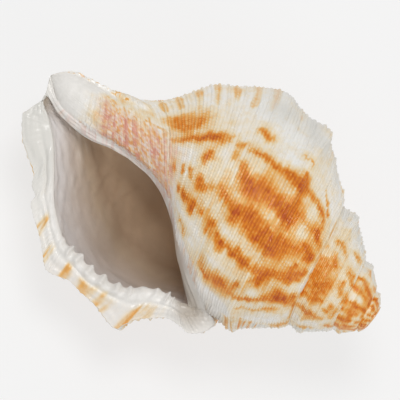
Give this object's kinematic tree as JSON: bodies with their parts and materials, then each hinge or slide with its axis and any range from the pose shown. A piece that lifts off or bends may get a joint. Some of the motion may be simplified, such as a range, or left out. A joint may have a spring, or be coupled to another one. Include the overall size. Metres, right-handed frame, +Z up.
{
  "type": "frog shell",
  "caption": "Frog shell, a thick coiled sea shell with knobbed ridges, a flared lip and an open mouth, lying on its back.",
  "frame": {"origin": "centre of the bounding box's base, on the surface that the shell lies on", "axes": "+X along the shell to the apex, +Z up out of the opening"},
  "size_m": [0.1096, 0.0784, 0.0653],
  "materials": {
    "shell": "satin"
  },
  "bodies": {
    "root": {"shell": "shell"}
  },
  "joints": []
}
